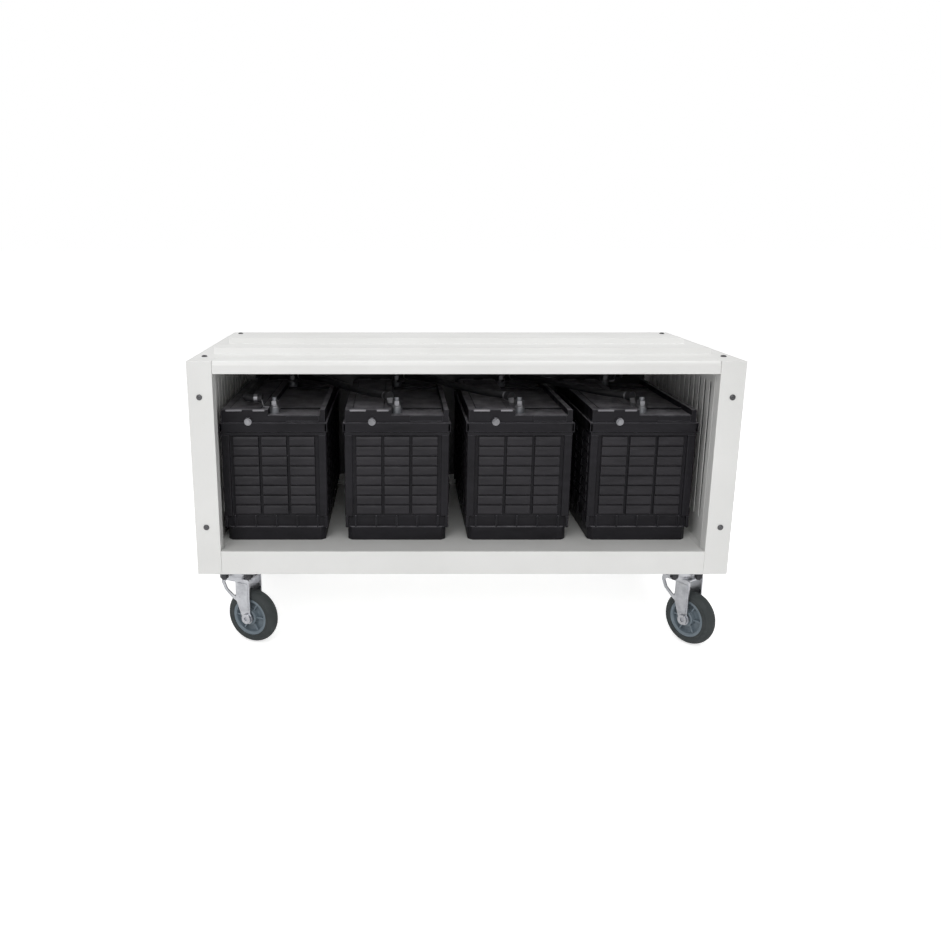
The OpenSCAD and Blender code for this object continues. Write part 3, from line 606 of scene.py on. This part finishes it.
def cable_lug(bm, post, toward, height):
    """A pressed ring lug on a post, stepped up to its crimp barrel; toward is the cable's direction."""
    angle = math.atan2(toward.y, toward.x)
    turn = Matrix.Translation(post) @ Matrix.Rotation(angle, 4, "Z")
    thick, half_width, rise = 2.8, 6.0, height / MM
    ring = [(4.15, 0.0), (4.15, thick), (8.5, thick), (9.0, thick - 0.5), (9.0, 0.4), (8.6, 0.0)]
    add_lathe(bm, in_mm(ring), turn, 40)
    strip = [(8.2, 0.0), (14.5, 0.0), (17.5, 1.2), (19.5, rise - 5.0), (21.5, rise - 2.0), (25.0, rise - 1.0)]
    for (xa, za), (xb, zb) in zip(strip, strip[1:]):
        corners = []
        for x, z in ((xa, za), (xb, zb)):
            for y in (-half_width, half_width):
                for dz in (0.0, thick):
                    corners.append(turn @ Vector((x * MM, y * MM, (z + dz) * MM)))
        v = [bm.verts.new(c) for c in corners]
        for face in ((0, 1, 3, 2), (4, 6, 7, 5), (0, 4, 5, 1), (2, 3, 7, 6), (1, 5, 7, 3), (0, 2, 6, 4)):
            bm.faces.new([v[i] for i in face])
    barrel = [turn @ Vector((x * MM, 0, height)) for x in (20.0, 21.0, 24.0, 27.0, 30.0, 33.0)]
    add_tube(bm, barrel, lambda t: (7.3 - 1.1 * math.sin(math.pi * t) ** 2) * MM, 24)


def cable_run(name, node, ends, path, jacket=6.0 * MM):
    """A cable: jacket with shrink sleeves along a path, and one lug piece for its posts."""
    bm = bmesh.new()
    route = smooth_path(path)
    add_tube(bm, route, jacket, 24)
    sleeves = [route[:6]] if len(ends) == 1 else [route[:6], route[:-7:-1]]
    for part in sleeves:
        back = (part[0] - part[1]).normalized()
        part = [part[0] + back * 4.5 * MM, part[0] + back * 4 * MM] + part
        add_tube(bm, part, lambda t: jacket + (1.9 - 0.9 * t) * MM, 24)
    piece = add_piece(name, bm, "cabinet", "cable_jacket", angle=50.0)
    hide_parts(node)
    bm = bmesh.new()
    for post, toward, height in ends:
        cable_lug(bm, post, toward, height)
    add_piece(name + "_lugs", bm, "cabinet", "bright_zinc", angle=40.0)


def post_centres():
    """The terminal posts' centres, as {(battery, "front" or "rear"): point at the foot of the lug}."""
    posts = {}
    lug_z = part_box("jumper_cable_1")[0].z
    nuts_low, nuts_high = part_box("terminal_nuts")
    inset = 8.5 * MM
    for number in BATTERIES:
        low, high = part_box(f"battery_{number}_lid")
        x = (low.x + high.x) / 2
        posts[number, "front"] = Vector((x, nuts_low.y + inset, lug_z))
        posts[number, "rear"] = Vector((x, nuts_high.y - inset, lug_z))
    return posts


def cables():
    """Three series jumpers and two leads, each bowed a little as stiff cable is."""
    posts = post_centres()
    axis_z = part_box("jumper_cable_1")[1].z - 7.5 * MM
    reach, bend = 24 * MM, 18 * MM
    sway = ((0.0, 0, 0), (0.06, 0, 0), (0.3, 5, 1.0), (0.55, -3, 0.6), (0.8, -5, -0.5), (0.94, 0, 0),
            (1.0, 0, 0))
    for number in (1, 2, 3):
        start, end = posts[number, "rear"], posts[number + 1, "front"]
        run = end - start
        run.z = 0
        side = run.normalized()
        bow = Vector((0, 0, 1)).cross(side)
        rise = axis_z - start.z
        points = []
        for t, sideways, lift in sway:
            base = start + side * reach + (run - side * 2 * reach) * t
            points.append(Vector((base.x, base.y, axis_z)) + bow * sideways * MM + Vector((0, 0, lift * MM)))
        ends = [(start, side, rise), (end, -side, rise)]
        cable_run(f"jumper_{number}", f"jumper_cable_{number}", ends, points)
    for name, battery, end, sign in (("positive", 1, "front", -1), ("negative", 4, "rear", 1)):
        low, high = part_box(f"{name}_lead")
        post = posts[battery, end]
        x = low.x + 6 * MM if sign < 0 else high.x - 6 * MM
        points = [(post.x + sign * reach, post.y, axis_z),
                  (x - sign * (bend - 1 * MM), post.y + 0.5 * MM, axis_z),
                  (x - sign * 5 * MM, post.y + 5.5 * MM, axis_z), (x, post.y + bend, axis_z)]
        straight = high.y - post.y - bend
        points += [(x, post.y + bend + straight * t, axis_z) for t in (0.25, 0.5, 0.75, 1.0)]
        ends = [(post, Vector((sign, 0, 0)), axis_z - post.z)]
        cable_run(f"{name}_cable", f"{name}_lead", ends, points)


# ---------------------------------------------------------------- casters

def joint_frame(name):
    joint = next(j for j in frame["joints"] if j["name"] == name)
    return Vector(joint["pos_m"]), Vector(joint["axis"]).normalized()


def mirrored(half):
    """A ring outline symmetric about z = 0, from its (r, z) half with z below zero, inside first."""
    return half + [(r, -z) for r, z in reversed(half)]


def caster_details(corner):
    """Ball-race rim, hub with rounded rings and ribs, and tyre with sidewall beads and crowned tread."""
    pivot, _ = joint_frame(f"turn_{corner}")
    centre, axle = joint_frame(f"roll_{corner}")
    fork_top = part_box(f"fork_{corner}")[1].z
    crown_z = fork_top - 13 * MM
    bm = bmesh.new()
    lift = Matrix.Translation((pivot.x, pivot.y, crown_z))
    rim = [(18.2, 10.5), (24.6, 10.5), (25.4, 9.6), (25.6, 6.5), (24.9, 3.2), (24.3, 2.4), (24.3, 0.6),
           (23.2, -0.4), (18.2, -0.4)]
    add_lathe(bm, in_mm(rim), lift, 72)
    add_piece(f"race_rim_{corner}", bm, f"swivel_{corner}", "zinc_plate", angle=30.0)

    spin = Matrix.Translation(centre) @ axle.to_track_quat("Z", "Y").to_matrix().to_4x4()
    tyre = [(32.0, -11.9), (32.6, -12.3), (34.4, -12.45), (35.6, -12.2), (36.1, -11.8), (36.7, -12.2),
            (39.2, -12.35), (40.3, -11.8), (41.8, -10.3), (43.1, -8.4), (44.3, -6.6), (45.1, -4.7),
            (45.65, -2.5), (45.8, -0.45), (45.95, -0.25)]
    bm = bmesh.new()
    add_lathe(bm, in_mm(mirrored(tyre)), spin, 128)
    piece = add_piece(f"tyre_{corner}_tread", bm, f"wheel_{corner}", "tyre_rubber", angle=32.0)
    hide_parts(f"tyre_{corner}")

    hub = [(9.0, -13.2), (9.4, -13.45), (12.2, -13.45), (12.9, -12.9), (13.0, -4.6), (13.8, -3.2),
           (15.5, -2.7), (19.0, -2.6), (20.0, -3.0), (21.0, -2.6), (23.8, -2.8), (25.2, -4.0),
           (26.6, -10.0), (27.8, -11.0), (30.8, -11.2), (31.9, -11.0)]
    bm = bmesh.new()
    add_lathe(bm, in_mm(mirrored(hub)), spin, 112)
    for k in range(6):
        turn = spin @ Matrix.Rotation(math.radians(60.0 * k), 4, "Z")
        for side in (-1, 1):
            first = len(bm.verts)
            low_z, high_z = sorted((side * 2.0 * MM, side * 8.8 * MM))
            add_box(bm, (12.5 * MM, -1.4 * MM, low_z), (26.0 * MM, 1.4 * MM, high_z), 0.6 * MM)
            bm.verts.ensure_lookup_table()
            bmesh.ops.transform(bm, matrix=turn, verts=bm.verts[first:])
    piece = add_piece(f"hub_{corner}_web", bm, f"wheel_{corner}", "hub_plastic", angle=32.0)
    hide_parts(f"hub_{corner}")


# ---------------------------------------------------------------- stage

def stage():
    """Wide pale floor that glows a little, as a lit white sweep does."""
    bm = bmesh.new()
    reach = 40.0
    plan = ((-reach, -reach), (reach, -reach), (reach, reach), (-reach, reach))
    bm.faces.new([bm.verts.new((x, y, 0.0)) for x, y in plan])
    floor = new_object("floor", bm)
    mat, tree, shader = new_material("floor")
    cloud = remap(tree, noise(tree, 1.2, 3.0), 0.3, 0.7)
    color = blend_color(tree, cloud, (0.90, 0.90, 0.90), (0.92, 0.92, 0.92))
    shader.inputs["Emission Color"].default_value = (1.0, 1.0, 1.0, 1.0)
    seen = add_node(tree, "ShaderNodeLightPath").outputs["Is Camera Ray"]
    tree.links.new(remap(tree, seen, 0.0, 1.0, 0.08, 0.62), shader.inputs["Emission Strength"])
    finish_material(tree, shader, color, remap(tree, cloud, 0.0, 1.0, 0.75, 0.85), [(cloud, 0.2 * MM, 0.05)])
    floor.data.materials.append(mat)


def area_light(name, place, target, size, power):
    data = bpy.data.lights.new(name, "AREA")
    data.shape = "RECTANGLE"
    data.size, data.size_y = size
    data.energy = power
    lamp = bpy.data.objects.new(name, data)
    lamp.location = place
    lamp.rotation_euler = (Vector(target) - Vector(place)).to_track_quat("-Z", "Y").to_euler()
    bpy.context.scene.collection.objects.link(lamp)


def light():
    """Bright surround that is dimmer overhead, with one broad soft panel in front and above."""
    world = bpy.data.worlds.new("surround")
    bpy.context.scene.world = world
    world.use_nodes = True
    tree = world.node_tree
    sky = tree.nodes["Background"]
    place = add_node(tree, "ShaderNodeTexCoord").outputs["Generated"]
    height = add_node(tree, "ShaderNodeSeparateXYZ", {0: place}).outputs["Z"]
    glow = remap(tree, height, 0.0, 0.9, 0.66, 0.36)
    seen = add_node(tree, "ShaderNodeLightPath").outputs["Is Camera Ray"]
    tree.links.new(calc(tree, "MAXIMUM", glow, seen), sky.inputs["Strength"])
    sky.inputs["Color"].default_value = (1.0, 1.0, 1.0, 1.0)
    area_light("key", (-0.5, -2.8, 2.4), (0.0, 0.0, 0.35), (2.4, 1.8), 45.0)
    area_light("top", (0.3, 0.6, 3.0), (0.0, 0.0, 0.4), (3.0, 2.4), 44.0)
    bpy.context.scene.view_settings.view_transform = "Standard"


def camera():
    """Slightly left of the middle and above the top, level side to side, tilted down."""
    data = bpy.data.cameras.new("camera")
    data.sensor_width = 36.0
    data.lens = 34.67
    data.shift_x = 0.0785
    data.shift_y = 0.002
    lens = bpy.data.objects.new("camera", data)
    lens.location = (-0.107, -1.599, 0.665)
    lens.rotation_euler = (math.radians(90.0 - 14.65), 0.0, 0.0)
    bpy.context.scene.collection.objects.link(lens)
    bpy.context.scene.camera = lens


dress_cad_nodes({f"battery_{number}_case" for number in BATTERIES})
for battery in BATTERIES:
    battery_shell(battery)
    lid_trim(battery)
cables()
for place in CORNERS:
    caster_details(place)
louvre_hoods()
stage()
light()
camera()
